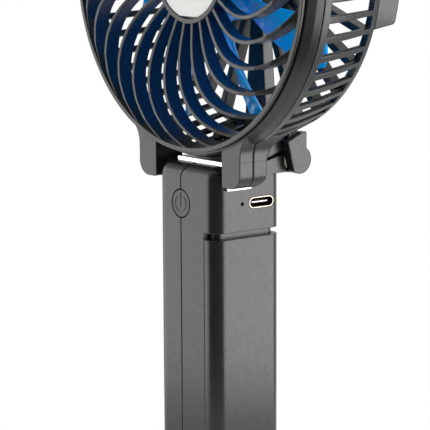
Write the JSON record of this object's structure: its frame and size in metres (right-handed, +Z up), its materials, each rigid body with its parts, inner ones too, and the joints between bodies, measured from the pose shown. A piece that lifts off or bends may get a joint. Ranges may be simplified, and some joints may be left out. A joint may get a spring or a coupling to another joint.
{
  "type": "handheld fan",
  "caption": "Handheld battery fan with a round caged head that folds back on a pinned hinge over a rectangular grip with a push button, charging socket and side battery cover.",
  "frame": {"origin": "middle of the handle's flat foot", "axes": "+Z up the handle towards the head, front of the fan at -Y, +X to the right seen from the front"},
  "size_m": [0.1098, 0.0422, 0.2149],
  "materials": {
    "shell_plastic": "fine moulded texture",
    "grille_plastic": "satin moulded",
    "housing_plastic": "satin moulded",
    "blade_plastic": "bright blue, semi-gloss",
    "badge_plastic": "pale satin",
    "button_plastic": "fine moulded texture",
    "strap_steel": "bright satin",
    "bright_steel": "machined",
    "socket_steel": "drawn, plated",
    "dark_plastic": "plain",
    "light_lens": "clear, dark",
    "washer_plastic": "plain",
    "cell_wrap": "shrink film",
    "contact_metal": "plated",
    "board_laminate": "solder resist",
    "magnet_ferrite": "ground",
    "can_steel": "plated",
    "winding_core": "wound copper over laminations",
    "lead_wire": "insulated wire"
  },
  "bodies": {
    "handle": {"left_shell": "shell_plastic", "right_shell": "shell_plastic", "shell_screws": "bright_steel", "latch_strap": "strap_steel", "friction_washers": "washer_plastic", "battery_cell": "cell_wrap", "battery_spring": "contact_metal", "battery_plate": "contact_metal", "main_board": "board_laminate", "board_parts": "dark_plastic", "tact_switch": "dark_plastic", "charge_light": "light_lens", "usb_port": "socket_steel", "usb_tongue": "dark_plastic"},
    "head": {"front_grille": "grille_plastic", "hub_badge": "badge_plastic", "rear_housing": "housing_plastic", "rear_feet": "housing_plastic", "hinge_pin": "bright_steel", "ear_screws": "bright_steel", "motor_can": "can_steel", "motor_magnets": "magnet_ferrite", "motor_end_bell": "dark_plastic", "motor_screws": "bright_steel", "motor_cover": "housing_plastic", "motor_leads": "lead_wire"},
    "rotor": {"impeller": "blade_plastic", "motor_shaft": "bright_steel", "motor_armature": "winding_core"},
    "button": {"power_button": "button_plastic"},
    "cover": {"battery_cover": "shell_plastic"}
  },
  "joints": [
    {"name": "head_fold", "type": "hinge", "parent": "handle", "child": "head", "pos_m": [0, 0.017, 0.10375], "axis": [-1, 0, 0], "range_deg": [0, 180]},
    {"name": "rotor_spin", "type": "hinge", "parent": "head", "child": "rotor", "pos_m": [0, -0.01305, 0.16], "axis": [0, 1, 0], "continuous": true},
    {"name": "power_press", "type": "slide", "parent": "handle", "child": "button", "axis": [0, 1, 0], "range_m": [0, 0.0004], "stiffness_N_per_m": 40, "springref_m": -0.001},
    {"name": "cover_release", "type": "slide", "parent": "handle", "child": "cover", "axis": [1, 0, 0], "range_m": [0, 0.03]}
  ]
}
